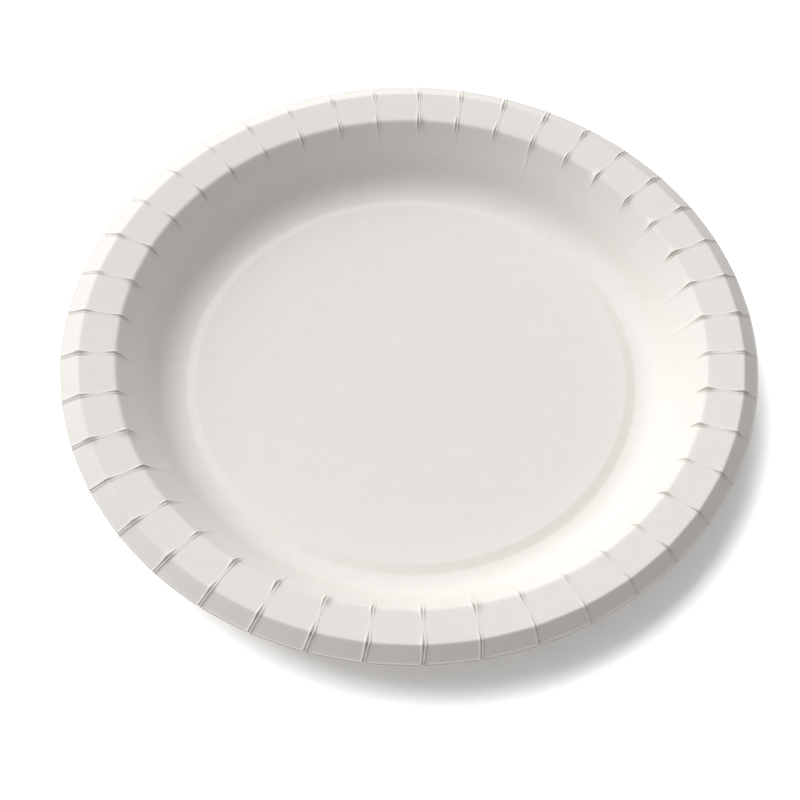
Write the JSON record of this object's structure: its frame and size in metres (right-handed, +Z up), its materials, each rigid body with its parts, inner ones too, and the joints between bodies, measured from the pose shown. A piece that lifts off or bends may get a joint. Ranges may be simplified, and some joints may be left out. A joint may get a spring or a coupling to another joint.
{
  "type": "paper plate",
  "caption": "Round pressed paperboard plate with a raised centre panel, sloped wall, level pleated rim and turned-down skirt.",
  "frame": {"origin": "centre of the plate, on the surface that its foot rests on", "axes": "+Z up, along the plate's axis; +X through the middle of one straight panel, half-way between two pleats"},
  "size_m": [0.2294, 0.23, 0.0215],
  "materials": {
    "paperboard": "uncoated white paperboard, pressed, with a faint sheen"
  },
  "bodies": {
    "root": {"plate": "paperboard"}
  },
  "joints": []
}
